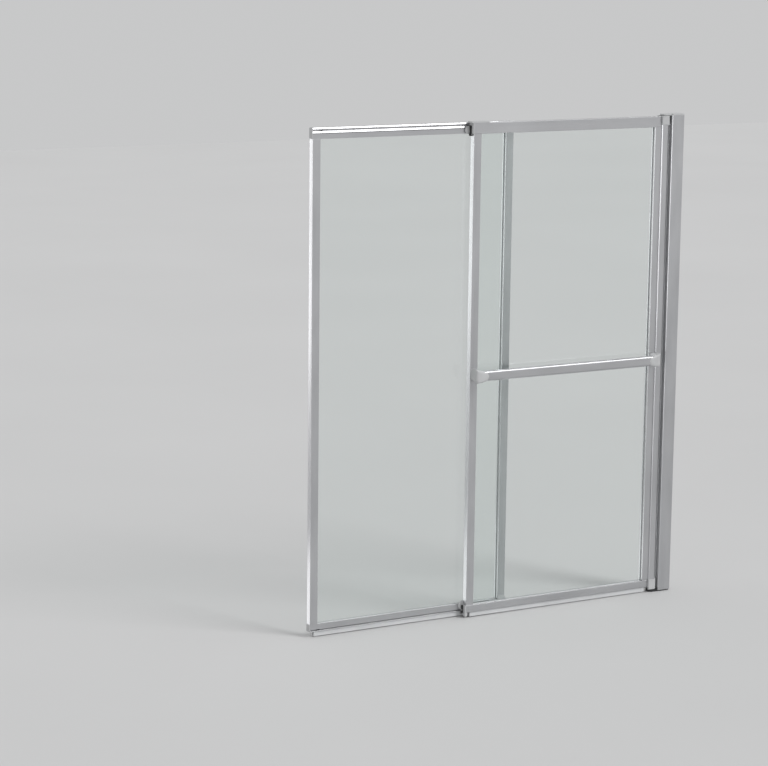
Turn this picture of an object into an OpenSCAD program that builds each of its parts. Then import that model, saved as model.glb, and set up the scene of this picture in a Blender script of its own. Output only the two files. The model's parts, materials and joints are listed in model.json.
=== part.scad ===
// Bath screen with two framed glass leaves. The front leaf swings on a wall
// profile, the rear leaf slides behind the front leaf in the grooves of its rails.
// Millimetres. +X runs along the screen to the wall, +Y into the bath, +Z up.
// The origin is the middle of the wall channel's back face, and every height
// below is measured up from the rim of the bath.

/* [Leaves] */
// Height of each framed leaf
leaf_h = 1400; // [1000:10:1600]
// Width of each framed leaf
leaf_w = 635; // [500:1:800]
// Overlap of the two leaves when the screen is pulled out
overlap = 143; // [130:1:200]
// Clear gap between the two leaves
leaf_gap = 5; // [4:0.5:8]
// Height of the leaves above the rim of the bath
rim_gap = 16; // [14:1:22]
// Thickness of the safety glass
glass_t = 4; // [3:0.5:5]

/* [Frame profiles] */
// Depth of the frame profiles
frame_d = 18; // [17:0.5:22]
// Width of the stiles
stile_w = 24; // [22:1:34]
// Height of the top rails
top_rail_h = 30; // [28:1:40]
// Height of the bottom rails
bottom_rail_h = 21; // [20:1:30]
// Wall thickness of the frame profiles
frame_t = 1.5; // [1.2:0.1:1.8]
// Depth of the glazing channel
glaze_depth = 10; // [7:0.5:11]
// Width of the glazing channel
glaze_w = 8; // [7.5:0.5:9]

/* [Track] */
// Height of the track groove
groove_h = 4; // [3.5:0.25:5]
// Depth of the track groove
groove_depth = 7; // [5.5:0.5:7]
// Lip above the groove of the top rails
top_lip = 5.5; // [3.5:0.5:7]
// Lip below the groove of the bottom rails
bottom_lip = 2; // [1.8:0.2:3]
// Bead under the groove of the top rails
rib_h = 7; // [4:0.5:9]
// Step between the bead and the flat face of the top rails
face_step = 1; // [0.5:0.25:1.5]
// Length of the glides that run in the grooves
glide_len = 42; // [24:2:50]

/* [Wall profile] */
// Width of the jamb profile seen from the front
jamb_w = 41; // [36:1:60]
// Depth of the jamb profile
jamb_d = 36; // [32:1:44]
// Wall thickness of the jamb profile
jamb_t = 1.8; // [1.4:0.2:2.4]
// Radius of the jamb profile's corners towards the leaf
jamb_corner = 4; // [1:0.5:5]
// Width of the wall channel inside the jamb profile
channel_w = 26; // [20:1:26]
// Wall thickness of the wall channel
channel_t = 2; // [1.6:0.2:2.6]
// Radius of the screw holes in the wall channel
wall_hole_r = 2.6; // [2.1:0.1:3.2]
// Distance of the end screw holes from the ends of the wall channel
wall_hole_inset = 107.25; // [50:0.25:200]

/* [Pivot] */
// Distance of the pivot axis from the jamb profile
axis_gap = 17; // [16.5:0.5:24]
// Distance from the pivot axis to the wall side of the pivot post
post_in = 8; // [7:0.5:8]
// Depth of the pivot post
post_d = 28; // [24:1:28]
// Distance from the pivot axis to the frame of the front leaf
post_gap = 12; // [11.5:0.5:16]
// Overlap of the post's cheeks on the faces of the hinge stile
post_grip = 3; // [2:0.5:4]
// Height of the upper hinge block
upper_block_h = 25; // [20:1:40]
// Height of the lower hinge block
lower_block_h = 31; // [22:1:40]
// Radius of the pivot pins
pin_r = 4; // [3:0.25:4.5]
// Thickness of the upper hinge plate
upper_plate_t = 4.5; // [3:0.5:8]
// Thickness of the lower hinge plate where it carries the leaf
lower_plate_t = 8; // [6:0.5:11]

/* [Towel bar] */
// Height of the middle of the towel bar above the rim
bar_z = 707; // [400:1:1000]
// Height of the bar profile
bar_h = 30; // [20:1:40]
// Depth of the bar profile
bar_d = 14; // [10:1:20]
// Distance of the bar's middle from the front of the leaf
bar_reach = 25.5; // [24:0.5:45]
// Wall thickness of the bar profile
bar_t = 1.5; // [1:0.25:2.5]

/* [Hidden] */
$fn = 48;
eps = 0.01;
fit = 0.02;           // fixed round fits
run = 0.05;           // radial clearance of the pins in their bushes
slip = 0.4;           // clearance of glides and guide plates in the track
seat = 0.2;           // clearance between profiles that slide together at assembly

// Colours
alu = [0.80, 0.81, 0.83];
alu_dark = [0.62, 0.63, 0.66];
moulding = [0.74, 0.75, 0.76];
black = [0.10, 0.10, 0.11];
steel = [0.70, 0.71, 0.73];
seal_grey = [0.82, 0.84, 0.86, 0.8];
clear = [0.75, 0.86, 0.88, 0.35];

// Heights above the rim
leaf_top = rim_gap + leaf_h;
glass_low = rim_gap + bottom_rail_h;          // lower edge of the daylight opening
glass_high = leaf_top - top_rail_h;           // upper edge of the daylight opening
jamb_low = 4;                                 // foot of the wall profiles
jamb_high = leaf_top + 2.5;                   // top of the wall profiles
jamb_back = 0.5;                              // jamb profile short of the wall
channel_h = jamb_high - jamb_low;
mid_h = (jamb_low + jamb_high) / 2;

// Places along the screen and through it
axis_x = -(jamb_w + axis_gap);
front_x1 = axis_x - post_gap;                 // hinge edge of the front leaf
front_x0 = front_x1 - leaf_w;                 // free edge of the front leaf
rear_x0 = front_x0 + overlap - leaf_w;        // free edge of the rear leaf
rear_y0 = frame_d / 2 + leaf_gap;             // front face of the rear leaf

// Frame profiles
edge_r = 0.8;
glass_edge = 1;                               // gasket between the glass and the channel floor
port_r = 2;                                   // screw ports in the stiles
port_u = (4.8 + stile_w - glaze_depth - frame_t) / 2;
port_d = (groove_depth + frame_d) / 2;
screw_r = port_r - run;
screw_hold = 22;                              // length of the corner screws in the stiles
head_r = 3.6;
head_h = 1.7;
screw_clear = 0.1;                            // rails clear of the corner screws
slot_mouth = 4.4;                             // slot for the tongue of the pivot post
slot_inner = 6.8;
slot_lip = 1.4;
slot_depth = 3.6;
seal_start = port_u + head_r + 2;             // ends of the drip seals
barb_d = port_d;                              // drip seal slot
barb_w = 2.4;
seal_x = 4;                                   // drip seal in from the faces of the rail
seal_t = 2.5;
seal_clear = 2.5;                             // lips of the drip seal above the rim
lip_tip = 0.6;                                // half the thickness of a lip's tip
lip_root = 1.6;
barb_clear = 0.1;
barb_out = 0.6;                               // barb inside the rail
barb_h = 1.6;

// Guides between the leaves
plate_t = leaf_gap - slip;                    // plates that fill the gap between the leaves
glide_h = groove_h - 2 * slip;
glide_reach = groove_depth - 1;
glide_step = 1;                               // foot of a glide above and below its tongue
glide_start = 6;
window_wall = 3;
guide_len = glide_start + glide_len + window_wall;
upper_nose = 17;
lower_nose = 14;
end_t = 2;
cap_t = 4;                                    // plate on top of the front leaf's corner
cap_out = 8;
cap_front = 0.5;                              // plate proud of the front of the rail
cap_corner = 2;
cap_in = 0.5;                                 // caps in from the faces of the rails
nose_low = 32;                                // upper guide nose, below the top of the leaf
nose_high = 9;
foot_z = 5;
foot_t = 3;                                   // end plate of the front leaf's lower guide
foot_len = 8;
lower_guide_top = 32;                         // above the foot of the leaf
lower_plate_top = 20;                         // its plate beside the glide
lower_nose_low = 4;
overlap_seal_w = 6;
overlap_seal_in = 2;                          // from the inner edge of the stile
overlap_seal_end = 2;                         // ends of the seal from the guides
groove_top_z = leaf_top - top_lip - groove_h / 2;
groove_bottom_z = rim_gap + bottom_lip + groove_h / 2;
buffer_t = 4;                                 // upper buffer: thickness and depth
buffer_d = 8;
buffer_hang = 7;                              // below the daylight's upper edge
buffer_drop = 7.5;                            // below the top of the leaf
heel_t = 3.5;                                 // lower buffer, heights above the foot of the leaf
heel_low = -4;
heel_neck = [3, 8];
heel_neck_t = 3;
heel_groove = 1.5;
heel_top = 21;
rear_end_t = 4;
travel = leaf_w - overlap - 27;               // slide of the rear leaf
stop_in = 0.5;                                // track stops in from the mouth of the groove
stop_len = 10;

// Pivot
block_r = axis_gap - 1.5;                     // reach of the hinge blocks round the axis
block_in = 13;                                // hinge block towards the wall
block_step = 1;                               // cheeks of the blocks beyond the post's
block_corner = 2;
post_floor = -post_gap + 4;                   // floor of the post's channel for the stile
block_floor = -post_gap + end_t + 1;          // floor of the blocks' channel for the rails
post_corner = 6;
cheek_r = (post_d - frame_d) / 2 - seat;      // round the outer edges of the post's cheeks
post_wall = 1.8;
hollow_back = 1;                              // extra thickness beside the post's rounding
bush_r = pin_r + 2;
bush_len = 18;
flange_t = 0.8;
flange_gap = 0.2;
upper_plate_z = jamb_high;
upper_block_top = upper_plate_z - flange_gap - flange_t;
upper_block_low = upper_block_top - upper_block_h;
lower_block_low = lower_plate_t + flange_gap + flange_t;
lower_block_top = lower_block_low + lower_block_h;
bush_flange = 2.5;                            // flange of the bushes beyond their barrel
spigot_len = 20;
plug_depth = 20;
pin_in_bush = bush_len - 1;
pin_floor = 1;                                // plate left over the end of a pin
upper_plate_r = 13;
lower_plate_r = 13;
plate_clear = 1;                              // lower plate short of the jamb and the wall

// Towel bar
bar_y = -frame_d / 2 - bar_reach;
edge_inset = 1;                               // bracket from the edge of the leaf
bracket_wall = 4.5;                           // above and below the bar
boss_front = 2;                               // in front of the bar, and behind it
boss_x1 = 27;
shoulder_x = 36;
tip_x = 43;
bar_end = 14;                                 // ends of the bar from the edges of the leaf
towel_screw_r = 1.8;
towel_head_r = 3;
towel_head_h = 1.4;
towel_screw_z = 8;
towel_screw_hold = 9;                         // length in the brackets
shield_corner = 1.5;
crown_rings = [[0, 3.2], [0.5, 1.6], [1.5, 0.5], [3, 0]];  // depth and inset of the front's rounding
back_inset = 0.5;
slice_t = 0.1;                                // thin plates that the brackets are hulled from
foot_plate_t = 3;
foot_low = 8;                                 // foot above the lowest point of the bracket
foot_h = bar_h + 2 * bracket_wall - 9;

// ---------------------------------------------------------------- frames
module above_rim() { translate([0, 0, -mid_h]) children(); }

// Leaf frame: x from the leaf's left edge, y from its track face through the
// frame, z above the rim. The track face looks at the other leaf.
module in_front_leaf() { translate([front_x0, frame_d / 2, 0]) mirror([0, 1, 0]) children(); }
module in_rear_leaf() { translate([rear_x0, rear_y0, 0]) children(); }

// Corner frame: x inwards from the end of the leaf that overlaps the other one.
module in_front_corner() { in_front_leaf() children(); }
module in_rear_corner() { in_rear_leaf() translate([leaf_w, 0, 0]) mirror([1, 0, 0]) children(); }

// Extrudes a section along x: the section's x becomes depth, its y height.
module along_x(len) { rotate([90, 0, 90]) linear_extrude(len) children(); }

module round_rect(w, d, r) {
    translate([r, 0]) square([w - 2 * r, d]);
    translate([0, r]) square([w, d - 2 * r]);
    for (x = [r, w - r], y = [r, d - r]) translate([x, y]) circle(r);
}

// Section from x0 to x1, its middle on y = 0, with corners of r0 at x0 and r1 at x1.
module rounded_ends(x0, x1, d, r0, r1) {
    translate([x0 + r0, -d / 2]) square([x1 - x0 - r0 - r1, d]);
    for (end = [[x0 + r0, r0], [x1 - r1, r1]]) if (end[1] > 0) {
        translate([end[0] - end[1], end[1] - d / 2]) square([2 * end[1], d - 2 * end[1]]);
        for (y = [-1, 1]) translate([end[0], y * (d / 2 - end[1])]) circle(end[1]);
    }
}

// ---------------------------------------------------------------- leaf pieces
// Stile section: x from the outer edge to the glass, y from the track face.
module stile_section(slotted) {
    outer_wall = slotted ? slot_depth + frame_t : frame_t;
    chamber_x1 = stile_w - glaze_depth - frame_t;
    difference() {
        round_rect(stile_w, frame_d, edge_r);
        translate([stile_w - glaze_depth, (frame_d - glaze_w) / 2])
            square([glaze_depth + 1, glaze_w]);
        difference() {
            translate([outer_wall, frame_t])
                square([chamber_x1 - outer_wall, frame_d - 2 * frame_t]);
            translate([port_u, port_d]) circle(port_r + frame_t);
            translate([port_u - frame_t, port_d]) square([2 * frame_t, frame_d - port_d]);
        }
        translate([port_u, port_d]) circle(port_r);
        if (slotted) {
            translate([-1, (frame_d - slot_mouth) / 2]) square([slot_lip + 1 + eps, slot_mouth]);
            translate([slot_lip, (frame_d - slot_inner) / 2])
                square([slot_depth - slot_lip, slot_inner]);
        }
    }
}

module stile(slotted = false) {
    translate([0, 0, glass_low]) linear_extrude(glass_high - glass_low) stile_section(slotted);
}

module right_end() { translate([leaf_w, 0, 0]) mirror([1, 0, 0]) children(); }

// Rail section: x from the track face, y from the outer edge to the glass.
module rail_section(h, lip, rib) {
    lip_r = lip / 2;
    face_x = rib > 0 ? face_step : 0;
    face_y = lip + groove_h + rib;
    difference() {
        union() {
            translate([lip_r, 0]) square([frame_d - lip_r - edge_r, lip]);
            translate([lip_r, lip_r]) circle(lip_r);
            translate([groove_depth, 0]) round_rect(frame_d - groove_depth, h, edge_r);
            if (rib > 0) translate([rib / 2, lip + groove_h]) {
                square([groove_depth, rib]);
                translate([0, rib / 2]) circle(rib / 2);
            }
            translate([face_x, face_y]) square([frame_d - face_x - edge_r, h - face_y]);
        }
        translate([(frame_d - glaze_w) / 2, h - glaze_depth]) square([glaze_w, glaze_depth + 1]);
        translate([groove_depth + frame_t, frame_t])
            square([frame_d - groove_depth - 2 * frame_t, h - glaze_depth - 2 * frame_t]);
        translate([face_x + frame_t, lip + groove_h + frame_t])
            square([groove_depth - face_x + eps, h - glaze_depth - lip - groove_h - 2 * frame_t]);
    }
}

// A countersunk screw shape that hangs down from z = 0.
module screw_shape(r, len, hr, hh) {
    translate([0, 0, -len]) cylinder(r = r, h = len);
    translate([0, 0, -hh]) cylinder(r1 = r, r2 = hr, h = hh);
}

module top_rail() {
    difference() {
        translate([0, 0, leaf_top]) mirror([0, 0, 1])
            along_x(leaf_w) rail_section(top_rail_h, top_lip, rib_h);
        for (x = [port_u, leaf_w - port_u]) translate([x, port_d, leaf_top + eps])
            screw_shape(port_r + screw_clear, top_rail_h + 1,
                head_r + screw_clear, head_h + screw_clear);
    }
}

module bottom_rail() {
    difference() {
        translate([0, 0, rim_gap]) along_x(leaf_w) rail_section(bottom_rail_h, bottom_lip, 0);
        for (x = [port_u, leaf_w - port_u]) translate([x, port_d, rim_gap - eps]) mirror([0, 0, 1])
            screw_shape(port_r + screw_clear, bottom_rail_h + 1,
                head_r + screw_clear, head_h + screw_clear);
        translate([-1, barb_d - barb_w / 2, rim_gap - 1])
            cube([leaf_w + 2, barb_w, frame_t + 1 + eps]);
    }
}

module corner_screws() {
    for (x = [port_u, leaf_w - port_u]) {
        translate([x, port_d, leaf_top])
            screw_shape(screw_r, top_rail_h + screw_hold, head_r, head_h);
        translate([x, port_d, rim_gap]) mirror([0, 0, 1])
            screw_shape(screw_r, bottom_rail_h + screw_hold, head_r, head_h);
    }
}

// Glass pane, set into the channels of all four profiles.
glass_x0 = stile_w - glaze_depth + glass_edge;
glass_z0 = glass_low - glaze_depth + glass_edge;
glass_z1 = glass_high + glaze_depth - glass_edge;
glass_y0 = (frame_d - glass_t) / 2;

module glass_pane() {
    translate([glass_x0, glass_y0, glass_z0])
        cube([leaf_w - 2 * glass_x0, glass_t, glass_z1 - glass_z0]);
}

// U-shaped glazing gasket: x from the channel floor out over the glass.
gasket_lip = 1.2;
module gasket_section() {
    difference() {
        translate([0, (frame_d - glaze_w) / 2]) square([glaze_depth, glaze_w]);
        translate([glass_edge, glass_y0]) square([glaze_depth, glass_t]);
    }
}
module gasket_lips() {
    for (side = [0, 1]) translate([glaze_depth, side ? glass_y0 + glass_t : (frame_d - glaze_w) / 2])
        square([gasket_lip, (glaze_w - glass_t) / 2]);
}

module side_gaskets() {
    for (end = [0, 1]) translate([end ? leaf_w : 0, 0, 0]) mirror([end, 0, 0])
        translate([stile_w - glaze_depth, 0, 0]) {
            translate([0, 0, glass_low]) linear_extrude(glass_high - glass_low) gasket_section();
            translate([0, 0, glass_low + gasket_lip])
                linear_extrude(glass_high - glass_low - 2 * gasket_lip) gasket_lips();
        }
}

// Turns a section so that its x points up and its y runs through the leaf.
module gasket_along_x(len) { rotate([90, 0, 90]) linear_extrude(len) mirror([1, -1]) children(); }

module rail_gaskets() {
    daylight = leaf_w - 2 * stile_w;
    for (top = [0, 1]) translate([0, 0, top ? glass_high : glass_low]) mirror([0, 0, top]) {
        translate([glass_x0, 0, -glaze_depth]) gasket_along_x(leaf_w - 2 * glass_x0)
            gasket_section();
        translate([stile_w, 0, -glaze_depth]) gasket_along_x(daylight) gasket_lips();
    }
}

// Drip seal: a barbed strip with two lips that hang down to the rim.
module drip_seal_section() {
    low = seal_clear - rim_gap;
    x0 = seal_x;
    x1 = frame_d - seal_x;
    polygon([[x0, 0], [x0 - lip_tip, low], [x0 + lip_tip, low], [x0 + lip_root, -seal_t],
             [x1 - lip_root, -seal_t], [x1 - lip_tip, low], [x1 + lip_tip, low], [x1, 0]]);
    translate([barb_d - barb_w / 2 + barb_clear, -1])
        square([barb_w - 2 * barb_clear, frame_t + barb_h]);
    translate([barb_d - barb_w / 2 - barb_out, frame_t]) square([barb_w + 2 * barb_out, barb_h]);
}

module drip_seal() {
    translate([seal_start, 0, rim_gap])
        along_x(leaf_w - 2 * seal_start) drip_seal_section();
}

// ---------------------------------------------------------------- guides
// Pocket for a glide, through the plate that fills the gap between the leaves.
module glide_window(z) {
    translate([glide_start - fit, -plate_t - 1, z - glide_h / 2 - glide_step - fit])
        cube([glide_len + 2 * fit, plate_t + 1 + eps, glide_h + 2 * glide_step + 2 * fit]);
}

module glide(z) {
    translate([glide_start, -plate_t, z - glide_h / 2 - glide_step])
        cube([glide_len, plate_t, glide_h + 2 * glide_step]);
    translate([glide_start, -leaf_gap - glide_reach, z - glide_h / 2])
        cube([glide_len, glide_reach + slip + eps, glide_h]);
}

// A plate in the gap between the leaves, with its outer end a half circle.
module nose_plate(x0, x1, z0, z1) {
    r = (z1 - z0) / 2;
    translate([0, 0, z0]) rotate([90, 0, 0]) linear_extrude(plate_t) {
        translate([x0 + r, 0]) square([x1 - x0 - r, 2 * r]);
        translate([x0 + r, r]) circle(r);
    }
}

module upper_guide(nose, cap) {
    difference() {
        union() {
            translate([-end_t, -plate_t, glass_high]) cube([end_t, frame_d + plate_t, top_rail_h]);
            translate([-end_t, -plate_t, glass_high]) cube([guide_len + end_t, plate_t, top_rail_h]);
            if (nose > 0) nose_plate(-nose, eps, leaf_top - nose_low, leaf_top - nose_high);
            if (cap) translate([-cap_out, -plate_t, leaf_top]) linear_extrude(cap_t)
                round_rect(guide_len + cap_out, frame_d + plate_t + cap_front, cap_corner);
        }
        glide_window(groove_top_z);
    }
}

module lower_guide(nose, foot) {
    plate_low = groove_bottom_z - glide_h / 2 - glide_step - window_wall;
    end_low = foot ? foot_z : rim_gap;
    end_w = foot ? foot_t : end_t;
    difference() {
        union() {
            translate([-end_w, -plate_t, end_low]) cube([end_w, frame_d + plate_t, glass_low - end_low]);
            translate([-end_w, -plate_t, plate_low])
                cube([guide_len + end_w, plate_t, rim_gap + lower_plate_top - plate_low]);
            nose_plate(-max(nose, end_w), stile_w,
                rim_gap + lower_nose_low, rim_gap + lower_guide_top);
            if (foot) translate([-end_w, 0, foot_z]) cube([foot_len, frame_d, rim_gap - foot_z]);
        }
        glide_window(groove_bottom_z);
    }
}

// Rubber stop in a track groove, x0 measured from the leaf's left edge.
module track_stops(x0) {
    for (z = [groove_top_z, groove_bottom_z])
        translate([x0, stop_in, z - groove_h / 2])
            cube([stop_len, groove_depth - stop_in, groove_h]);
}

// ---------------------------------------------------------------- wall side
module wall_channel() color(alu_dark) above_rim() {
    inner_d = jamb_d - 2 * jamb_t - 2 * seat;
    difference() {
        translate([-channel_w, -inner_d / 2, jamb_low]) cube([channel_w, inner_d, channel_h]);
        translate([-channel_w - 1, -inner_d / 2 + channel_t, jamb_low - 1])
            cube([channel_w + 1 - channel_t, inner_d - 2 * channel_t, channel_h + 2]);
        for (z = [jamb_low + wall_hole_inset, mid_h, jamb_high - wall_hole_inset])
            translate([-channel_t - 1, 0, z]) rotate([0, 90, 0])
                cylinder(r = wall_hole_r, h = channel_t + 2);
        jamb_screw_holes();
    }
}

jamb_screw_r = 1.9;
jamb_screw_x = -channel_w / 2;
jamb_screw_head = [3.6, 2];                   // radius and height
jamb_screw_end = 3;                           // screws past the channel's wall
middle_screw_up = 40;                         // middle screw above the middle wall screw
module at_jamb_screws() {
    for (z = [jamb_low + 2 * wall_hole_inset, mid_h + middle_screw_up,
            jamb_high - 2 * wall_hole_inset])
        translate([jamb_screw_x, jamb_d / 2, z]) rotate([90, 0, 0]) children();
}
module jamb_screw_holes() {
    at_jamb_screws() translate([0, 0, -1])
        cylinder(r = jamb_screw_r + run, h = jamb_t + channel_t + seat + jamb_screw_end);
}

module jamb_profile() color(alu) above_rim() {
    difference() {
        translate([0, 0, jamb_low]) linear_extrude(channel_h)
            rounded_ends(-jamb_w, -jamb_back, jamb_d, jamb_corner, 0);
        translate([-jamb_w + jamb_t, -jamb_d / 2 + jamb_t, jamb_low - 1])
            cube([jamb_w, jamb_d - 2 * jamb_t, channel_h + 2]);
        jamb_screw_holes();
    }
}

module jamb_screws() color(steel) above_rim() at_jamb_screws() {
    translate([0, 0, -jamb_screw_head[1]])
        cylinder(r = jamb_screw_head[0], h = jamb_screw_head[1]);
    translate([0, 0, -eps])
        cylinder(r = jamb_screw_r, h = jamb_t + channel_t + seat + jamb_screw_end);
}

// Soft strip that closes the gap between the jamb and the pivot post.
module jamb_seal() color(seal_grey) above_rim() {
    reach = axis_gap - post_sweep - slip;
    translate([-jamb_w - reach, -jamb_seal_d / 2, lower_block_top + jamb_seal_end])
        cube([reach, jamb_seal_d, upper_block_low - lower_block_top - 2 * jamb_seal_end]);
}
jamb_seal_d = 8;
jamb_seal_end = 3;                            // ends of the seal from the hinge blocks
post_sweep = norm([post_in - post_corner, post_d / 2 - post_corner]) + post_corner;

module hinge_plug(z0) {
    inner_d = jamb_d - 2 * jamb_t - 2 * seat;
    plug_w = jamb_w - jamb_t - channel_w - 2 * seat;
    translate([-jamb_w + jamb_t + seat, -inner_d / 2, z0 - eps])
        cube([plug_w, inner_d, plug_depth + 2 * eps]);
}

// Plate outline round the pivot axis, up to the jamb.
module plate_round(r) {
    circle(r);
    translate([0, -r]) square([axis_gap, 2 * r]);
}

module upper_hinge_plate() color(moulding) above_rim() difference() {
    union() {
        translate([0, 0, upper_plate_z]) linear_extrude(upper_plate_t) {
            translate([axis_x, 0]) plate_round(upper_plate_r);
            rounded_ends(-jamb_w, 0, jamb_d, jamb_corner, 0);
        }
        hinge_plug(upper_plate_z - plug_depth);
    }
    translate([axis_x, 0, upper_plate_z - 1])
        cylinder(r = pin_r + fit, h = upper_plate_t + 1 - pin_floor);
}

module lower_hinge_plate() color(black) above_rim() difference() {
    union() {
        translate([axis_x, 0, 0]) linear_extrude(lower_plate_t) difference() {
            plate_round(lower_plate_r);
            translate([axis_gap - plate_clear, -lower_plate_r - 1])
                square([plate_clear + 1, 2 * lower_plate_r + 2]);
        }
        translate([axis_x, -lower_plate_r, 0])
            cube([-axis_x - plate_clear, 2 * lower_plate_r, jamb_low]);
        hinge_plug(jamb_low);
    }
    translate([axis_x, 0, pin_floor]) cylinder(r = pin_r + fit, h = lower_plate_t);
}

module upper_pivot_pin() color(steel) above_rim() {
    pin_low = upper_block_top - pin_in_bush;
    translate([axis_x, 0, pin_low])
        cylinder(r = pin_r, h = upper_plate_z + upper_plate_t - pin_floor - pin_low);
}

module lower_pivot_pin() color(steel) above_rim()
    translate([axis_x, 0, pin_floor])
        cylinder(r = pin_r, h = lower_block_low + pin_in_bush - pin_floor);

// ---------------------------------------------------------------- pivot post
// Hollow section whose cheeks reach over both faces of the hinge stile.
module post_section() {
    difference() {
        rounded_ends(-post_gap - post_grip, post_in, post_d, cheek_r, post_corner);
        stile_channel(post_floor);
        post_hollow(0);
    }
}

// Channel for the edge of the front leaf, from the side up to its floor.
module stile_channel(floor_x) {
    reach = post_gap + post_grip + block_step + 1;
    translate([-reach, -frame_d / 2 - seat]) square([reach + floor_x, frame_d + 2 * seat]);
}

module post_hollow(shrink) {
    side = post_wall + shrink;
    translate([post_floor + side, -post_d / 2 + hollow_back + side])
        square([post_in - post_floor - hollow_back - 2 * side, post_d - 2 * hollow_back - 2 * side]);
}

// Tongue that slides into the slot of the hinge stile.
module post_tongue() {
    neck = slot_mouth - 2 * seat;
    head = slot_inner - 2 * seat;
    translate([-post_gap - slot_lip - seat, -neck / 2])
        square([post_gap + slot_lip + seat + post_floor + eps, neck]);
    translate([-post_gap - slot_depth + seat, -head / 2])
        square([slot_depth - slot_lip - 2 * seat + eps, head]);
}

module pivot_post() color(alu) above_rim() translate([axis_x, 0, 0]) {
    translate([0, 0, lower_block_top]) linear_extrude(upper_block_low - lower_block_top)
        post_section();
    tongue_low = max(lower_block_top, glass_low);
    tongue_high = min(upper_block_low, glass_high);
    translate([0, 0, tongue_low]) linear_extrude(tongue_high - tongue_low) post_tongue();
}

// Hinge block: its cheeks grip the ends of the rails, and it is round towards the wall.
module block_section() {
    block_out = post_gap + post_grip + block_step;
    intersection() {
        circle(block_r);
        translate([0, -block_r]) square([block_in, 2 * block_r]);
    }
    difference() {
        rounded_ends(-block_out, eps, 2 * block_r, block_corner, 0);
        stile_channel(block_floor);
    }
}

module hinge_block(h) {
    difference() {
        union() {
            linear_extrude(h) block_section();
            translate([0, 0, -spigot_len]) linear_extrude(spigot_len + 1) post_hollow(seat);
        }
        translate([0, 0, h - bush_len]) cylinder(r = bush_r + fit, h = bush_len + 1);
    }
}

module upper_hinge_block() color(moulding) above_rim()
    translate([axis_x, 0, upper_block_low]) hinge_block(upper_block_h);

module lower_hinge_block() color(moulding) above_rim()
    translate([axis_x, 0, lower_block_top]) mirror([0, 0, 1]) hinge_block(lower_block_h);

// Flanged bush, mouth up, flange on z = 0.
module bush() difference() {
    union() {
        translate([0, 0, -bush_len]) cylinder(r = bush_r, h = bush_len + eps);
        cylinder(r = bush_r + bush_flange, h = flange_t);
    }
    translate([0, 0, -bush_len - 1]) cylinder(r = pin_r + run, h = bush_len + flange_t + 2);
}

module upper_bush() color(black) above_rim() translate([axis_x, 0, upper_block_top]) bush();
module lower_bush() color(black) above_rim()
    translate([axis_x, 0, lower_block_low]) mirror([0, 0, 1]) bush();

// ---------------------------------------------------------------- front leaf
module front_free_stile() color(alu) above_rim() difference() {
    in_front_leaf() stile();
    at_towel_screws() towel_screw(run);
}
module front_hinge_stile() color(alu) above_rim() difference() {
    in_front_leaf() right_end() stile(true);
    at_towel_screws() towel_screw(run);
}
module front_top_rail() color(alu) above_rim() in_front_leaf() top_rail();
module front_bottom_rail() color(alu) above_rim() in_front_leaf() bottom_rail();
module front_glass() color(clear) above_rim() in_front_leaf() glass_pane();
module front_side_gaskets() color(seal_grey) above_rim() in_front_leaf() side_gaskets();
module front_rail_gaskets() color(seal_grey) above_rim() in_front_leaf() rail_gaskets();
module front_corner_screws() color(steel) above_rim() in_front_leaf() corner_screws();
module front_drip_seal() color(seal_grey) above_rim() in_front_leaf() drip_seal();

// Flat caps on the hinge ends of the two rails.
module front_rail_caps() color(moulding) above_rim() in_front_leaf() translate([leaf_w, 0, 0]) {
    translate([0, cap_in, glass_high]) cube([end_t, frame_d - 2 * cap_in, top_rail_h - cap_in]);
    translate([0, cap_in, rim_gap + cap_in])
        cube([end_t, frame_d - 2 * cap_in, bottom_rail_h - cap_in]);
}

// Soft strip on the back of the free stile, against the rear leaf.
module overlap_seal() color(black) above_rim() in_front_corner() {
    z0 = rim_gap + lower_guide_top + overlap_seal_end;
    translate([stile_w - overlap_seal_w - overlap_seal_in, -plate_t, z0])
        cube([overlap_seal_w, plate_t, glass_high - overlap_seal_end - z0]);
}

module front_upper_guide() color(moulding) above_rim() in_front_corner()
    upper_guide(upper_nose, true);
module front_lower_guide() color(moulding) above_rim() in_front_corner()
    lower_guide(lower_nose, true);
module front_upper_glide() color(black) above_rim() in_front_corner() glide(groove_top_z);
module front_lower_glide() color(black) above_rim() in_front_corner() glide(groove_bottom_z);

// Black buffers on the free ends of the rails, against the end plates of the guides.
module upper_buffer() color(black) above_rim() in_front_corner()
    translate([-end_t - buffer_t, 0, glass_high - buffer_hang]) {
        cube([buffer_t, buffer_d, top_rail_h + buffer_hang - buffer_drop]);
        cube([buffer_t + end_t, buffer_d, buffer_hang]);
    }
module lower_buffer() color(black) above_rim() in_front_corner()
    translate([-foot_t - heel_t, 0, rim_gap]) {
        translate([0, 0, heel_neck[1]]) cube([heel_t, buffer_d, heel_top - heel_neck[1]]);
        translate([heel_t - heel_neck_t, heel_groove, heel_neck[0]])
            cube([heel_neck_t, buffer_d - 2 * heel_groove, heel_neck[1] - heel_neck[0]]);
        translate([0, 0, heel_low]) cube([heel_t, buffer_d, heel_neck[0] - heel_low]);
    }

// Stops that end the outward slide of the rear leaf.
module front_track_stops() color(black) above_rim() in_front_leaf()
    track_stops(overlap - glide_start - glide_len - seat - stop_len);

// ---------------------------------------------------------------- towel bar
// Flat oval section with its middle at the origin, x through and y up.
module oval(d, h) {
    translate([-d / 2, -h / 2 + d / 2]) square([d, h - d]);
    for (y = [-1, 1]) translate([0, y * (h / 2 - d / 2)]) circle(d / 2);
}

module towel_bar() color(alu) above_rim() translate([front_x0 + bar_end, bar_y, bar_z])
    along_x(leaf_w - 2 * bar_end) difference() {
        oval(bar_d, bar_h);
        oval(bar_d - 2 * bar_t, bar_h - 2 * bar_t);
    }

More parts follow.
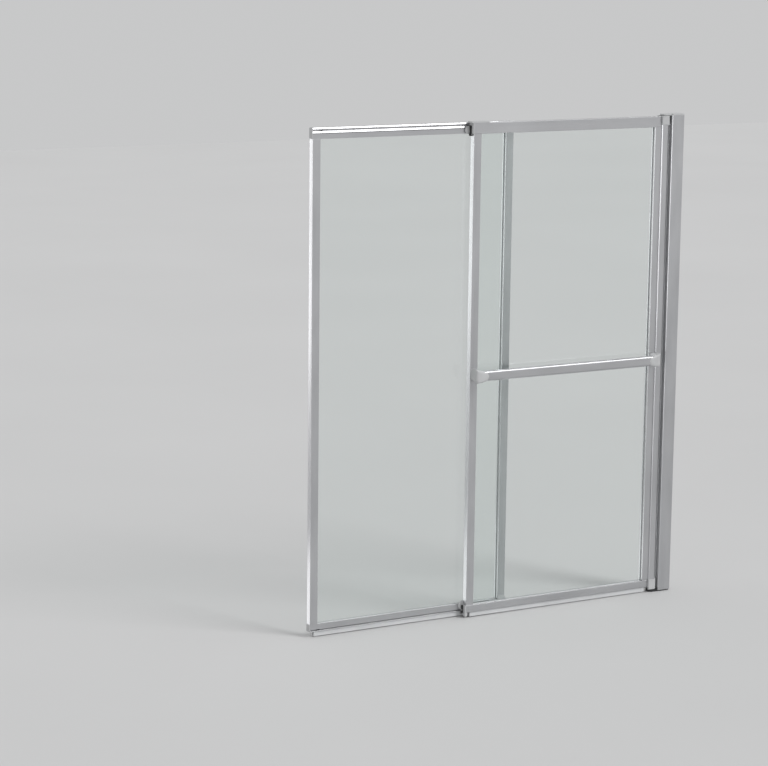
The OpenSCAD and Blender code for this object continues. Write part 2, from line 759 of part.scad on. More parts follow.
// Outline of a bracket seen from the front: x from the edge of the leaf, y from
// the middle of the bar, with a point that lies on the bar.
module shield(edge) {
    up = bar_h / 2 + bracket_wall;
    polygon([[edge, 6 - up], [edge, up], [shoulder_x, up - 7.5], [tip_x, 0],
             [shoulder_x, 6.5 - up], [22, 0.5 - up], [12, -up]]);
}

// The same outline, drawn in and rounded, as a thin plate at depth y.
module shield_slice(edge, y, inset) {
    translate([0, y + slice_t, 0]) rotate([90, 0, 0]) linear_extrude(slice_t)
        offset(r = shield_corner, $fn = 24) offset(delta = -shield_corner - inset) shield(edge);
}

// Bracket on the front face of a stile: a block that holds the bar, drawn in to
// its foot on the stile, with a pointed front.
module bracket(edge) difference() {
    front_y = -bar_reach - bar_d / 2 - boss_front;
    back_y = -bar_reach + bar_d / 2 + boss_front;
    union() {
        hull() {
            translate([edge, -foot_plate_t, foot_low - bar_h / 2 - bracket_wall])
                cube([stile_w - edge_inset - edge, foot_plate_t, foot_h]);
            intersection() {
                union() {
                    shield_slice(edge, back_y, back_inset);
                    shield_slice(edge, front_y + crown_rings[3][0], 0);
                }
                translate([0, front_y - 1, -bar_h]) cube([boss_x1, bar_reach + bar_d, 2 * bar_h]);
            }
        }
        hull() {
            for (ring = crown_rings) shield_slice(edge, front_y + ring[0], ring[1]);
        }
    }
    translate([bar_end - seat, -bar_reach, 0]) along_x(tip_x)
        oval(bar_d + 2 * seat, bar_h + 2 * seat);
    for (z = [-1, 1]) translate([port_u, 1, z * towel_screw_z]) rotate([90, 0, 0])
        cylinder(r = towel_screw_r + run, h = towel_screw_hold + 2);
}

module at_front_face() { translate([front_x0, -frame_d / 2, bar_z]) children(); }

module free_side_bracket() color(moulding) above_rim() at_front_face() bracket(edge_inset);
module hinge_side_bracket() color(moulding) above_rim() at_front_face() right_end()
    bracket(edge_inset + post_grip);

// Countersunk screw from the track side of a stile into a bracket.
module towel_screw(extra) {
    translate([0, 0, -extra]) cylinder(r = towel_screw_r + extra, h = frame_d + towel_screw_hold);
    translate([0, 0, -eps])
        cylinder(r1 = towel_head_r + extra, r2 = towel_screw_r, h = towel_head_h);
}
module at_towel_screws() {
    for (x = [port_u, leaf_w - port_u], z = [-1, 1])
        translate([front_x0 + x, frame_d / 2, bar_z + z * towel_screw_z]) rotate([90, 0, 0]) children();
}
module towel_bar_screws() color(steel) above_rim() at_towel_screws() towel_screw(0);

// ---------------------------------------------------------------- rear leaf
module rear_free_stile() color(alu) above_rim() in_rear_leaf() stile();
module rear_inner_stile() color(alu) above_rim() in_rear_leaf() right_end() stile();
module rear_top_rail() color(alu) above_rim() in_rear_leaf() top_rail();
module rear_bottom_rail() color(alu) above_rim() in_rear_leaf() bottom_rail();
module rear_glass() color(clear) above_rim() in_rear_leaf() glass_pane();
module rear_side_gaskets() color(seal_grey) above_rim() in_rear_leaf() side_gaskets();
module rear_rail_gaskets() color(seal_grey) above_rim() in_rear_leaf() rail_gaskets();
module rear_corner_screws() color(steel) above_rim() in_rear_leaf() corner_screws();
module rear_drip_seal() color(seal_grey) above_rim() in_rear_leaf() drip_seal();

// Rounded caps on the free ends of the two rails.
module rear_end_caps() color(moulding) above_rim() in_rear_leaf() {
    for (rail = [[glass_high, top_rail_h], [rim_gap, bottom_rail_h]])
        translate([-rear_end_t, frame_d, rail[0]]) rotate([90, 0, 0]) linear_extrude(frame_d) {
            translate([rear_end_t - eps, 0]) square([eps, rail[1]]);
            translate([0, rear_end_t]) square([rear_end_t, rail[1] - 2 * rear_end_t]);
            intersection() {
                square([rear_end_t, rail[1]]);
                for (z = [rear_end_t, rail[1] - rear_end_t])
                    translate([rear_end_t, z]) circle(rear_end_t);
            }
        }
}

module rear_upper_guide() color(moulding) above_rim() in_rear_corner() upper_guide(0, false);
module rear_lower_guide() color(moulding) above_rim() in_rear_corner() lower_guide(0, false);
module rear_upper_glide() color(black) above_rim() in_rear_corner() glide(groove_top_z);
module rear_lower_glide() color(black) above_rim() in_rear_corner() glide(groove_bottom_z);

// Stops that end the inward slide of the rear leaf.
module rear_track_stops() color(black) above_rim() in_rear_leaf()
    track_stops(leaf_w - overlap + glide_start - seat - travel - stop_len);

wall_channel();
jamb_profile();
jamb_screws();
jamb_seal();
upper_hinge_plate();
lower_hinge_plate();
upper_pivot_pin();
lower_pivot_pin();
pivot_post();
upper_hinge_block();
lower_hinge_block();
upper_bush();
lower_bush();
front_free_stile();
front_hinge_stile();
front_top_rail();
front_bottom_rail();
front_glass();
front_side_gaskets();
front_rail_gaskets();
front_corner_screws();
front_rail_caps();
front_drip_seal();
overlap_seal();
front_upper_guide();
front_lower_guide();
front_upper_glide();
front_lower_glide();
upper_buffer();
lower_buffer();
front_track_stops();
towel_bar();
free_side_bracket();
hinge_side_bracket();
towel_bar_screws();
rear_free_stile();
rear_inner_stile();
rear_top_rail();
rear_bottom_rail();
rear_glass();
rear_side_gaskets();
rear_rail_gaskets();
rear_corner_screws();
rear_end_caps();
rear_drip_seal();
rear_upper_guide();
rear_lower_guide();
rear_upper_glide();
rear_lower_glide();
rear_track_stops();
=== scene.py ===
"""Looks of a framed glass bath screen: satin anodised profiles, clear safety glass,
light grey mouldings and clear seals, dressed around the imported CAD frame.
Metres; +X to the wall channel, +Y from the front leaf to the rear leaf, +Z up; the origin
is halfway up the channel. The measures of the pieces are in mm, and their heights are
above the base."""

import json
from math import radians

import bmesh
import bpy
import numpy as np
from mathutils import Matrix, Vector
from mathutils.geometry import tessellate_polygon

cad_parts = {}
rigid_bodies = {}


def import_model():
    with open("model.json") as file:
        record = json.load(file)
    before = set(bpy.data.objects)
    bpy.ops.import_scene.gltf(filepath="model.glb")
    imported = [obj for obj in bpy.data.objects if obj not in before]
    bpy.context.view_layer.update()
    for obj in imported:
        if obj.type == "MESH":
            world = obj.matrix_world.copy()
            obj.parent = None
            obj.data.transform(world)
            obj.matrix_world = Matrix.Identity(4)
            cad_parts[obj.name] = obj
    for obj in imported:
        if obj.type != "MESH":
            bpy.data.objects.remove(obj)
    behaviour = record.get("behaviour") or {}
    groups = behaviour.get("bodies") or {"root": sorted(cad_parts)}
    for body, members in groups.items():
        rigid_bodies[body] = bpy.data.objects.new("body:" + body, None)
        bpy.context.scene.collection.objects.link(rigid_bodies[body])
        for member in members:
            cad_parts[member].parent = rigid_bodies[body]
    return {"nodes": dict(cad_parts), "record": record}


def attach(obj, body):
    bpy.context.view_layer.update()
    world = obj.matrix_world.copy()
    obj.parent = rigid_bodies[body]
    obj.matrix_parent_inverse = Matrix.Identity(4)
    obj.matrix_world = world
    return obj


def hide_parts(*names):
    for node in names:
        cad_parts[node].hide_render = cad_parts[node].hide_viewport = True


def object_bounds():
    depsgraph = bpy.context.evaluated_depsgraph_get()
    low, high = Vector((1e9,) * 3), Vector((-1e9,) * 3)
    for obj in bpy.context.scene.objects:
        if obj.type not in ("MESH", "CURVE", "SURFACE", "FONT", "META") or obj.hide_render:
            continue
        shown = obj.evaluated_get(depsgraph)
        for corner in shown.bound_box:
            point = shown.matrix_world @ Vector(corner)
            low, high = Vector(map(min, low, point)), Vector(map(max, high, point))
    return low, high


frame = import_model()
NODES = frame["nodes"]
BODIES = frame["record"]["behaviour"]["bodies"]
BODY_OF = {node: body for body, nodes in BODIES.items() for node in nodes}
SLOT_OF = {part["node"]: part["material_slot"] for part in frame["record"]["subparts"]}
CAD_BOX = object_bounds()
MM = 0.001

# ------------------------------------------------------------------ camera
CAMERA_PLACE = (-4.36307, -6.03287, 1.27450)
CAMERA_YAW = 29.302         # degrees to the right of +Y
CAMERA_PITCH = 10.482       # degrees down
CAMERA_ROLL = 0.647
LENS_MM = 119.23
SENSOR_MM = 36.0
VIEW_END = 100.0            # metres


def add_camera():
    """A long lens at the front left, turned to the wall channel and looking slightly down."""
    data = bpy.data.cameras.new("camera")
    data.lens = LENS_MM
    data.sensor_width = SENSOR_MM
    data.clip_end = VIEW_END
    camera = bpy.data.objects.new("camera", data)
    bpy.context.scene.collection.objects.link(camera)
    turn = (
        Matrix.Rotation(radians(-CAMERA_YAW), 4, "Z")
        @ Matrix.Rotation(radians(90 - CAMERA_PITCH), 4, "X")
        @ Matrix.Rotation(radians(CAMERA_ROLL), 4, "Z")
    )
    camera.matrix_world = Matrix.Translation(CAMERA_PLACE) @ turn
    bpy.context.scene.camera = camera


# ------------------------------------------------------------------ node helpers
NOISE_RANGE = (0.3, 0.7)    # the values that a noise mostly keeps to


class Shader:
    """A material's node tree with short calls for the nodes that the finishes use."""

    def __init__(self, name, **sockets):
        """A new material, with sockets of its surface set by name, _ standing for a space."""
        self.material = bpy.data.materials.new(name)
        self.material.use_nodes = True
        self.tree = self.material.node_tree
        self.surface = self.tree.nodes["Principled BSDF"]
        for socket, value in sockets.items():
            self.surface.inputs[socket.replace("_", " ")].default_value = value

    def node(self, kind, **settings):
        """A new node with its own settings."""
        made = self.tree.nodes.new(kind)
        for key, value in settings.items():
            setattr(made, key, value)
        return made

    def link(self, source, target):
        """An output joined to an input."""
        self.tree.links.new(source, target)

    def place(self, scale):
        """Object coordinates times scale, so that a pattern can be long in one direction."""
        coordinates = self.node("ShaderNodeTexCoord")
        mapping = self.node("ShaderNodeMapping")
        mapping.inputs["Scale"].default_value = scale
        self.link(coordinates.outputs["Object"], mapping.inputs["Vector"])
        return mapping.outputs["Vector"]

    def noise(self, scale, detail=4.0, roughness=0.5):
        """Fractal noise from 0 to 1 on Object coordinates; scale is per metre along X, Y, Z."""
        made = self.node("ShaderNodeTexNoise")
        made.inputs["Scale"].default_value = 1.0
        made.inputs["Detail"].default_value = detail
        made.inputs["Roughness"].default_value = roughness
        self.link(self.place(scale), made.inputs["Vector"])
        return made.outputs["Fac"]

    def spread(self, fac, low, high):
        """A number that runs from low to high over the noise range of fac."""
        made = self.node("ShaderNodeMapRange")
        sockets = ("From Min", "From Max", "To Min", "To Max")
        for socket, value in zip(sockets, (*NOISE_RANGE, low, high)):
            made.inputs[socket].default_value = value
        self.link(fac, made.inputs["Value"])
        return made.outputs["Result"]

    def tint(self, fac, first, second):
        """A colour that runs from first to second over the noise range of fac."""
        ramp = self.node("ShaderNodeValToRGB")
        for end, colour in enumerate((first, second)):
            ramp.color_ramp.elements[end].position = NOISE_RANGE[end]
            ramp.color_ramp.elements[end].color = (*colour, 1)
        self.link(fac, ramp.inputs["Fac"])
        return ramp.outputs["Color"]

    def bump(self, height, depth):
        """A relief of that depth in mm, added over any relief made before."""
        made = self.node("ShaderNodeBump")
        made.inputs["Distance"].default_value = depth * MM
        made.inputs["Strength"].default_value = 1.0
        self.link(height, made.inputs["Height"])
        before = self.surface.inputs["Normal"].links
        if before:
            self.link(before[0].from_socket, made.inputs["Normal"])
        self.link(made.outputs["Normal"], self.surface.inputs["Normal"])

    def drive(self, socket, output):
        """A node's output set to work on a socket of the surface."""
        self.link(output, self.surface.inputs[socket])


# ------------------------------------------------------------------ finishes
HEAD_ON_SHARE = 0.04        # of the light that a face of glass mirrors, seen head on


def along(axis, lengthwise, across):
    """Pattern scale: lengthwise per metre along the axis, across per metre the other ways."""
    scale = [across] * 3
    scale["xyz".index(axis)] = lengthwise
    return tuple(scale)


def anodised(name, axis):
    """Satin silver anodised aluminium: die lines along the extrusion, a cloudy etch."""
    shader = Shader(name, Metallic=0.85)
    lines = shader.noise(along(axis, 1.5, 2600.0), detail=3.0, roughness=0.6)
    cloud = shader.noise(along(axis, 6.0, 22.0), detail=5.0)
    shader.drive("Base Color", shader.tint(cloud, (0.43, 0.433, 0.445), (0.50, 0.503, 0.515)))
    shader.drive("Roughness", shader.spread(lines, 0.27, 0.42))
    shader.bump(lines, 0.02)
    return shader.material


def mill_aluminium():
    """Bare extrusion inside the wall profile: duller, with stronger die lines."""
    shader = Shader("mill_aluminium", Metallic=1.0)
    lines = shader.noise(along("z", 1.0, 1400.0), detail=4.0)
    shader.drive("Base Color", shader.tint(lines, (0.38, 0.385, 0.40), (0.52, 0.525, 0.54)))
    shader.drive("Roughness", shader.spread(lines, 0.38, 0.55))
    shader.bump(lines, 0.04)
    return shader.material


def moulded(name, dark, light, roughness):
    """Injection moulded plastic: spark-eroded grain and a faint mottle."""
    shader = Shader(name)
    mottle = shader.noise((35.0,) * 3)
    grain = shader.noise((1800.0,) * 3, detail=2.0)
    shader.drive("Base Color", shader.tint(mottle, dark, light))
    shader.drive("Roughness", shader.spread(grain, roughness - 0.06, roughness + 0.08))
    shader.bump(grain, 0.03)
    return shader.material


def stainless():
    """Turned stainless steel of screws and pins."""
    shader = Shader("stainless_steel", Metallic=1.0)
    rings = shader.noise((900.0, 900.0, 5000.0), detail=2.0)
    shader.drive("Base Color", shader.tint(rings, (0.52, 0.52, 0.53), (0.62, 0.62, 0.63)))
    shader.drive("Roughness", shader.spread(rings, 0.18, 0.30))
    shader.bump(rings, 0.01)
    return shader.material


def clear_glass():
    """Clear toughened glass: each face lets light straight through, faintly green, and
    mirrors the share h + (1 - h) f^5 of it, where h is the head-on share and f runs from 0
    head on to 1 edge on."""
    shader = Shader("clear_glass", Metallic=1.0, Roughness=0.01)
    wave = shader.noise((1.5, 1.5, 5.0), detail=1.0)
    shader.drive("Base Color", shader.tint(wave, (0.90, 0.93, 0.925), (0.93, 0.96, 0.95)))
    shader.bump(wave, 0.2)
    clear = shader.node("ShaderNodeBsdfTransparent")
    clear.inputs["Color"].default_value = (0.965, 0.98, 0.975, 1)
    edge_on = shader.node("ShaderNodeLayerWeight")
    edge_on.inputs["Blend"].default_value = 0.5
    fifth = shader.node("ShaderNodeMath", operation="POWER")
    fifth.inputs[1].default_value = 5.0
    share = shader.node("ShaderNodeMath", operation="MULTIPLY_ADD")
    share.inputs[1].default_value = 1 - HEAD_ON_SHARE
    share.inputs[2].default_value = HEAD_ON_SHARE
    mix = shader.node("ShaderNodeMixShader")
    output = shader.tree.nodes["Material Output"]
    shader.link(edge_on.outputs["Facing"], fifth.inputs[0])
    shader.link(fifth.outputs[0], share.inputs[0])
    shader.link(share.outputs[0], mix.inputs[0])
    shader.link(clear.outputs["BSDF"], mix.inputs[1])
    shader.link(shader.surface.outputs["BSDF"], mix.inputs[2])
    shader.link(mix.outputs["Shader"], output.inputs["Surface"])
    return shader.material


def soft_seal():
    """Translucent soft plastic of the gaskets and drip seals, milky and a little cloudy."""
    shader = Shader("clear_seal", IOR=1.45, Transmission_Weight=0.3)
    cloud = shader.noise((12.0, 60.0, 60.0))
    shader.drive("Base Color", shader.tint(cloud, (0.78, 0.79, 0.80), (0.87, 0.88, 0.89)))
    shader.drive("Roughness", shader.spread(cloud, 0.28, 0.42))
    shader.bump(shader.noise((40.0, 500.0, 500.0), detail=2.0), 0.04)
    return shader.material


FINISHES = {
    "anodised_x": anodised("anodised_lengthwise", "x"),
    "anodised_z": anodised("anodised_upright", "z"),
    "mill_aluminium": mill_aluminium(),
    "grey_moulding": moulded("grey_moulding", (0.48, 0.485, 0.49), (0.54, 0.545, 0.55), 0.34),
    "black_moulding": moulded("black_moulding", (0.018, 0.018, 0.02), (0.03, 0.03, 0.032), 0.42),
    "black_rubber": moulded("black_rubber", (0.014, 0.014, 0.015), (0.024, 0.024, 0.025), 0.6),
    "stainless_steel": stainless(),
    "clear_glass": clear_glass(),
    "clear_seal": soft_seal(),
}
LENGTHWISE = ("rail", "towel_bar")      # in the names of profiles that run along X


def finish_of(node):
    """The finish of a node: its record slot, with the grain along the profile."""
    slot = SLOT_OF[node]
    if slot == "anodised_aluminium":
        lengthwise = any(word in node for word in LENGTHWISE)
        return FINISHES["anodised_x" if lengthwise else "anodised_z"]
    return FINISHES[slot]


def paint(obj, finish):
    """The finish as the object's only material."""
    obj.data.materials.clear()
    obj.data.materials.append(finish)


# ------------------------------------------------------------------ measures, in mm
BASE = 711.25               # the origin's height above the base that the screen stands on
LEAF_W = 635.0
LEAF_TOP = 1416.0
LEAF_FOOT = 16.0
STILE_W = 24.0
CHANNEL = 10.0              # depth of the glazing channel
DAYLIGHT = (37.0, 1386.0)   # lower and upper edge of the glass opening
FRONT_X = -705.0            # free edges of the two leaves
REAR_X = -1197.0
FRONT_Y = 9.0               # track faces of the two leaves
REAR_Y = 14.0
PORT = (8.65, 12.5)         # screw ports, from the leaf's edge and from its track face


def in_front_leaf(x, y, z):
    """The whole object's frame for a place in the leaf's own: x from the free edge, y from
    the track face and z above the base."""
    return FRONT_X + x, FRONT_Y - y, z - BASE


def in_rear_leaf(x, y, z):
    """The same for the rear leaf, whose track face looks the other way."""
    return REAR_X + x, REAR_Y + y, z - BASE


def from_right(place):
    """The same place, with x measured from the leaf's other edge."""
    return lambda x, y, z: place(LEAF_W - x, y, z)


# ------------------------------------------------------------------ shells
def volume(points, faces):
    """Signed volume times six: the sum of a . (b x c) over each face's fan of triangles."""
    first = points[faces[:, 0]]
    return sum(
        np.einsum("ij,ij->", first, np.cross(points[faces[:, k]], points[faces[:, k + 1]]))
        for k in range(1, faces.shape[1] - 1)
    )


def placed(shell, place):
    """A shell whose points (x, y, z) are moved to place(x, y, z)."""
    points, faces = shell
    return np.stack(np.broadcast_arrays(*place(*points.T)), axis=-1), faces


def grid_faces(rows, columns):
    """Quads between rings: point k of a ring, point k + 1, and the same two one ring on."""
    row, column = np.meshgrid(np.arange(rows - 1), np.arange(columns), indexing="ij")
    a = row * columns + column
    b = row * columns + (column + 1) % columns
    return np.stack([a, b, b + columns, a + columns], axis=-1).reshape(-1, 4)


def loft(rings):
    """A closed shell through rings of equal count, with a fan to the middle of each end."""
    m, n = rings.shape[:2]
    middles = rings[[0, -1]].mean(axis=1)
    points = np.concatenate([rings.reshape(-1, 3), middles])
    here = np.arange(n)
    after = (here + 1) % n
    first = np.stack([np.full(n, m * n), after, here], axis=-1)
    last = np.stack([np.full(n, m * n + 1), (m - 1) * n + here, (m - 1) * n + after], axis=-1)
    return points, [grid_faces(m, n), first, last]


def rounded(corners, radius, steps=5):
    """A polygon with each corner P drawn as P + r((1-s)^2 a + s^2 b), s from 0 to 1, where
    a and b are the unit directions from P to its neighbours: a parabola cut r long."""
    corners = np.asarray(corners, float)
    a = np.roll(corners, 1, axis=0) - corners
    b = np.roll(corners, -1, axis=0) - corners
    length_a = np.linalg.norm(a, axis=1)
    length_b = np.linalg.norm(b, axis=1)
    r = np.minimum(np.broadcast_to(radius, len(corners)), 0.49 * np.minimum(length_a, length_b))
    s = np.linspace(0, 1, steps + 1)[None, :, None]
    a = (a / length_a[:, None] * r[:, None])[:, None]
    b = (b / length_b[:, None] * r[:, None])[:, None]
    return (corners[:, None] + (1 - s) ** 2 * a + s**2 * b).reshape(-1, 2)


def spaced(outline, count):
    """The same closed outline as count points, equally far apart along it."""
    closed = np.concatenate([outline, outline[:1]])
    run = np.concatenate([[0], np.cumsum(np.linalg.norm(np.diff(closed, axis=0), axis=1))])
    want = np.linspace(0, run[-1], count, endpoint=False)
    return np.stack([np.interp(want, run, closed[:, k]) for k in (0, 1)], axis=-1)


def turned(outline, sign):
    """The outline run anticlockwise for sign 1 and clockwise for sign -1."""
    x, y = outline.T
    area = np.sum(x * np.roll(y, -1) - np.roll(x, -1) * y)
    return outline if area * sign > 0 else outline[::-1]


def drawn_in(outline, by):
    """Each point moved towards the left of the run by 2(n + m) / |n + m|^2, n and m being
    the normals of its two edges, so that both edges move in by the same distance."""
    edge = np.roll(outline, -1, axis=0) - outline
    edge = edge / np.linalg.norm(edge, axis=1, keepdims=True)
    normal = np.stack([-edge[:, 1], edge[:, 0]], axis=-1)
    both = normal + np.roll(normal, 1, axis=0)
    return outline + by * 2 * both / np.maximum((both**2).sum(axis=1, keepdims=True), 0.5)


def carried(outlines, start, end, chamfer=0.3):
    """A section carried straight from start to end: points (u, v, w) with w along the run.
    The outer outline comes first, then its holes. Both ends are drawn in by the chamfer."""
    outlines = [turned(o, 1 if k == 0 else -1) for k, o in enumerate(outlines)]
    levels = [(start, chamfer), (start + chamfer, 0), (end - chamfer, 0), (end, chamfer)]
    rings = [np.concatenate([drawn_in(o, inset) for o in outlines]) for _, inset in levels]
    count = len(rings[0])
    heights = np.repeat([w for w, _ in levels], count)
    points = np.column_stack([np.concatenate(rings), heights])
    firsts = np.cumsum([0] + [len(o) for o in outlines])
    sides = []
    for first, outline in zip(firsts, outlines):
        # The quads count this outline alone, and its second ring lies a whole ring further on
        quads = grid_faces(2, len(outline))
        quads += np.where(quads >= len(outline), count - len(outline), 0) + first
        sides += [quads + level * count for level in range(len(levels) - 1)]
    flat = [[Vector((*p, 0)) for p in drawn_in(o, chamfer).tolist()] for o in outlines]
    cap = np.array(tessellate_polygon(flat))
    p, q, r = (rings[0][cap[:, k]] for k in range(3))
    clockwise = np.cross(q - p, r - p) < 0
    cap[clockwise] = cap[clockwise][:, ::-1]
    return points, sides + [cap[:, ::-1], cap + (len(levels) - 1) * count]


# ------------------------------------------------------------------ pieces
def finished(piece, node):
    """The piece rides with the node's body, stands for the node and takes its finish."""
    paint(piece, finish_of(node))
    bpy.context.scene.collection.objects.link(piece)
    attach(piece, BODY_OF[node])
    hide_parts(node)
    return piece


def built(node, name, shells, sharp=32.0):
    """One mesh from closed shells in mm, faces outwards, smooth except over sharp edges."""
    start = 0
    points, faces = [], []
    for shell_points, groups in shells:
        inside_out = sum(volume(shell_points, g) for g in groups) < 0
        points.append(shell_points * MM)
        for group in groups:
            faces += ((group[:, ::-1] if inside_out else group) + start).tolist()
        start += len(shell_points)
    mesh = bpy.data.meshes.new(name)
    mesh.from_pydata(np.concatenate(points).tolist(), [], faces)
    mesh.polygons.foreach_set("use_smooth", np.ones(len(mesh.polygons), bool))
    mesh.set_sharp_from_angle(angle=radians(sharp))
    mesh.update()
    return finished(bpy.data.objects.new(name, mesh), node)


def depth_of(node, y):
    """Depth from the track face of the leaf that the node belongs to."""
    return FRONT_Y - y if node.startswith("front") else y - REAR_Y


def depth_set(node, depth):
    """The place y of points that lie at that depth from the track face."""
    return FRONT_Y - depth if node.startswith("front") else REAR_Y + depth


NOSES = ((LEAF_TOP - 5.5, LEAF_TOP), (LEAF_TOP - 16.5, LEAF_TOP - 9.5))
NOSE_DEPTH = 4.0            # no point of a nose is deeper than this from the track face
NOSE_START = 0.15           # depth at which the slope starts
NOSE_SLOPE = 0.577          # depth per mm of height, as at 30 degrees
NOSE_FOOT = 0.22            # part of a nose's height that lies below the slope
SLACK = 0.01                # for rounding errors


def sloped_noses(node, points):
    """The round lip and bead of a top rail with their fronts cut to a slope: at the height w
    above its lower edge, a nose of height h starts no nearer to the track face than the
    slope's start plus the slope times (w - the foot's part times h)."""
    x, y, z = points.T
    depth = depth_of(node, y)
    for low, high in NOSES:
        slope = NOSE_START + NOSE_SLOPE * (z - low - NOSE_FOOT * (high - low))
        nose = (z > low - SLACK) & (z < high + SLACK) & (depth < NOSE_DEPTH)
        depth = np.where(nose, np.maximum(depth, slope), depth)
    return np.stack([x, depth_set(node, depth), z], axis=-1)


FLANGE_PART = 0.35          # of its thickness that an end cap's flange keeps


def thin_flanges(_node, points):
    """End caps whose flange outside the rails is thinned to that part of its thickness."""
    x, y, z = points.T
    thinned = REAR_X + FLANGE_PART * (x - REAR_X)
    return np.stack([np.where(x < REAR_X, thinned, x), y, z], axis=-1)


STOP_DEPTH = 4.0            # of the stops' fronts, from the track face


def set_back(node, points):
    """Stops whose fronts lie that deep in the groove."""
    x, y, z = points.T
    depth = np.maximum(depth_of(node, y), STOP_DEPTH)
    return np.stack([x, depth_set(node, depth), z], axis=-1)


RESHAPED = {
    "front_top_rail": sloped_noses, "rear_top_rail": sloped_noses,
    "rear_end_caps": thin_flanges,
    "front_track_stops": set_back, "rear_track_stops": set_back,
}
MERGED_WITHIN = 2e-6        # metres
FLAT_WITHIN = 0.5           # degrees between faces that are joined
EDGE_OVER = 30.0            # degrees between faces that meet at an edge
EDGE_STEPS = 3              # faces across a rolled edge


def softened(node, width):
    """A copy of the node with its corners merged and its flat faces joined, and every edge
    rolled over by width in mm, as on a moulding or a drawn profile."""
    shape = bmesh.new()
    shape.from_mesh(NODES[node].data)
    bmesh.ops.remove_doubles(shape, verts=shape.verts, dist=MERGED_WITHIN)
    if node in RESHAPED:
        points = np.array([v.co for v in shape.verts]) / MM + (0, 0, BASE)
        points = (RESHAPED[node](node, points) - (0, 0, BASE)) * MM
        for vertex, point in zip(shape.verts, points.tolist()):
            vertex.co = point
    bmesh.ops.dissolve_limit(
        shape, angle_limit=radians(FLAT_WITHIN), verts=shape.verts, edges=shape.edges
    )
    mesh = bpy.data.meshes.new(node + "_softened")
    shape.to_mesh(mesh)
    shape.free()
    if "custom_normal" in mesh.attributes:
        mesh.attributes.remove(mesh.attributes["custom_normal"])
    mesh.polygons.foreach_set("use_smooth", np.ones(len(mesh.polygons), bool))
    mesh.set_sharp_from_angle(angle=radians(EDGE_OVER))
    piece = bpy.data.objects.new(mesh.name, mesh)
    bevel = piece.modifiers.new("rolled_edges", "BEVEL")
    bevel.width = width * MM
    bevel.segments = EDGE_STEPS
    bevel.limit_method = "ANGLE"
    bevel.angle_limit = radians(EDGE_OVER)
    bevel.harden_normals = True
    return finished(piece, node)


def oval(depth, height, count=48):
    """A circle of the depth's width, its upper and lower halves drawn apart to the height."""
    turn = np.linspace(0, np.pi, count)
    half = np.stack([np.cos(turn), np.sin(turn)], axis=-1) * depth / 2
    half[:, 1] += (height - depth) / 2
    return np.concatenate([half, -half])


# The towel bar's middle line, and the outside and wall of its tube
BAR = {"y": -34.5, "z": 707.0, "depth": 14.0, "height": 30.0, "wall": 1.5}
BAR_ENDS = (-691.0, -84.0)


def towel_bar():
    """The flat oval tube, carried from one bracket's pocket to the other's."""
    inner = oval(BAR["depth"] - 2 * BAR["wall"], BAR["height"] - 2 * BAR["wall"])
    tube = carried([oval(BAR["depth"], BAR["height"]), inner], *BAR_ENDS)
    place = lambda y, z, x: (x, BAR["y"] + y, BAR["z"] + z - BASE)
    built("towel_bar", "towel_bar_tube", [placed(tube, place)])


# Corners of the shield from the leaf's edge and the bar's middle line, and their roundings
SHIELD = [(0, -8), (0, 21.5), (40.5, 10), (46, -1), (40.5, -13), (21, -19.5), (6, -19.5)]
SHIELD_R = [4.0, 1.5, 1.5, 0.8, 3.0, 7.0, 4.0]
SHIELD_POINTS = 160
SHIELD_MIDDLE = np.array([19.0, 0.5])
FOOT_REACH = 23.0           # where the foot ends along the bar
FOOT_HEIGHTS = (-11.5, 18.5)
BLOCK_REACH = 27.0          # where the bar comes out of the block


def bracket(node, name, edge, flip):
    """A moulded shield round the bar's end, lofted through outlines over one another: the
    foot is the shield kept to the stile's face, the block is the shield cut off where the
    bar comes out, and the front is the whole shield, crowned towards its middle. It starts
    edge mm from the edge of the leaf."""
    corners = [(max(x, edge), y) for x, y in SHIELD]
    shield = turned(spaced(rounded(corners, SHIELD_R, 8), SHIELD_POINTS), 1)
    across, up = shield.T
    foot = np.stack([np.clip(across, edge, FOOT_REACH), np.clip(up, *FOOT_HEIGHTS)], axis=-1)
    block = np.stack([np.minimum(across, BLOCK_REACH), up], axis=-1)

    def shrunk(outline, by):
        """Each point moved towards the middle by that many mm, but by nine tenths at most."""
        away = outline - SHIELD_MIDDLE
        far = np.linalg.norm(away, axis=1, keepdims=True)
        return SHIELD_MIDDLE + away * np.maximum(1 - by / far, 0.1)

    def between(a, b, part):
        """From a to b by 3 part^2 - 2 part^3, which starts and ends level."""
        ease = part * part * (3 - 2 * part)
        return a + (b - a) * ease

    # Each step is an outline, the mm that it is shrunk by, and its place y
    steps = [(foot, 3, -9.0), (foot, 0.6, -9.0), (foot, 0, -9.6)]
    for part in (0.25, 0.5, 0.75, 1.0):
        steps.append((between(foot, block, part), 0.4 * (1 - part), -9.6 - 22.4 * part))
    steps += [(block, 0, -35.0), (block, 0.1, -36.6), (between(block, shield, 0.5), 0.3, -36.9)]
    steps += [(shield, 0.5, -37.1), (shield, 0.05, -37.3), (shield, 0, -37.6)]
    steps += [(shield, 0.2, -38.6), (shield, 0.7, -39.7), (shield, 1.4, -40.6)]
    steps += [(shield, 2.4, -41.5), (shield, 3.8, -42.3), (shield, 5.2, -42.8)]
    steps += [(shield, 7, -43.1), (shield, 10, -43.4), (shield, 15, -43.5)]
    rings = [np.column_stack([shrunk(o, by), np.full(len(o), y)]) for o, by, y in steps]
    leaf_end = FRONT_X + LEAF_W if flip else FRONT_X
    side = -1 if flip else 1
    place = lambda u, v, y: (leaf_end + side * u, y, BAR["z"] + v - BASE)
    built(node, name, [placed(loft(np.array(rings)), place)], sharp=50)


